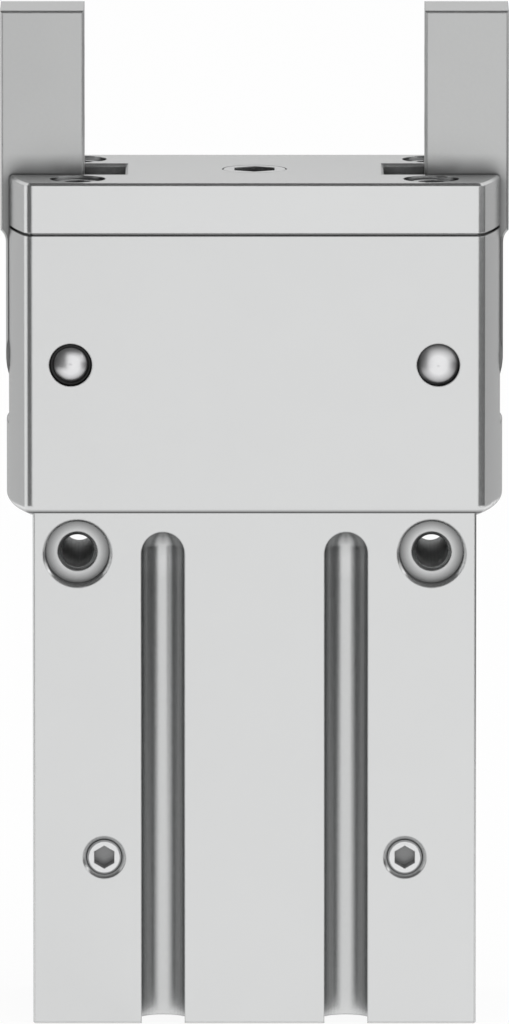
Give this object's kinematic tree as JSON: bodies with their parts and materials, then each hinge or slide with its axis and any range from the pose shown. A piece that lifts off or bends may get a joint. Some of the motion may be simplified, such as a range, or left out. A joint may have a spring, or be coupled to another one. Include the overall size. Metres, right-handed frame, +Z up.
{
  "type": "radial gripper",
  "caption": "Slim pneumatic radial gripper whose upright levers swing outwards from a rectangular housing, driven by one piston through a double rack.",
  "frame": {"origin": "centre of the bottom face of the housing", "axes": "+X from the left lever to the right lever, +Y to the rear face with the air ports, -Y the front face with the sensor slots, +Z up towards the finger ends"},
  "size_m": [0.0508, 0.024, 0.101],
  "materials": {
    "anodised_aluminium": "fine blasted and clear anodised, matt",
    "lever_steel": "ground and nitrided hard steel, satin",
    "polished_steel": "hardened, ground and polished steel",
    "screw_steel": "stainless socket screw, lightly turned",
    "black_rubber": "black nitrile rubber",
    "bronze": "sintered bronze, plain turned",
    "magnet": "plastic bonded magnet, dark grey",
    "guide_plastic": "bronze filled PTFE, matt",
    "spring_steel": "phosphated spring steel"
  },
  "bodies": {
    "housing": {"housing": "anodised_aluminium", "cover_plate": "anodised_aluminium", "cover_screws": "screw_steel", "cover_dowels": "polished_steel", "stop_screw": "screw_steel", "right_pivot_pin": "polished_steel", "left_pivot_pin": "polished_steel", "right_pin_ring": "black_rubber", "left_pin_ring": "black_rubber", "rod_bush": "bronze", "rod_seal": "black_rubber", "seal_retainer": "anodised_aluminium", "bumper_rings": "black_rubber", "end_cap": "anodised_aluminium", "end_cap_seal": "black_rubber", "end_cap_snap_ring": "spring_steel", "port_plugs": "screw_steel", "duct_plugs": "polished_steel"},
    "piston": {"piston": "anodised_aluminium", "piston_seal": "black_rubber", "piston_magnet": "magnet", "piston_guide_ring": "guide_plastic", "piston_nut": "screw_steel", "piston_rod": "polished_steel", "rack_crosshead": "lever_steel", "crosshead_screw": "screw_steel"},
    "right_lever": {"right_jaw": "lever_steel", "right_bush": "bronze"},
    "left_lever": {"left_jaw": "lever_steel", "left_bush": "bronze"}
  },
  "joints": [
    {"name": "piston_stroke", "type": "slide", "parent": "housing", "child": "piston", "axis": [0, 0, 1], "range_m": [-0.00098, 0.0088]},
    {"name": "right_lever_swing", "type": "hinge", "parent": "housing", "child": "right_lever", "pos_m": [0.0183, 0, 0.0664], "axis": [0, 1, 0], "range_deg": [-10, 90]},
    {"name": "left_lever_swing", "type": "hinge", "parent": "housing", "child": "left_lever", "pos_m": [-0.0183, 0, 0.0664], "axis": [0, -1, 0], "range_deg": [-10, 90]}
  ],
  "couplings": [
    {"joint": "right_lever_swing", "follows": "piston_stroke", "rad_per_m": 178.57},
    {"joint": "left_lever_swing", "follows": "piston_stroke", "rad_per_m": 178.57}
  ]
}
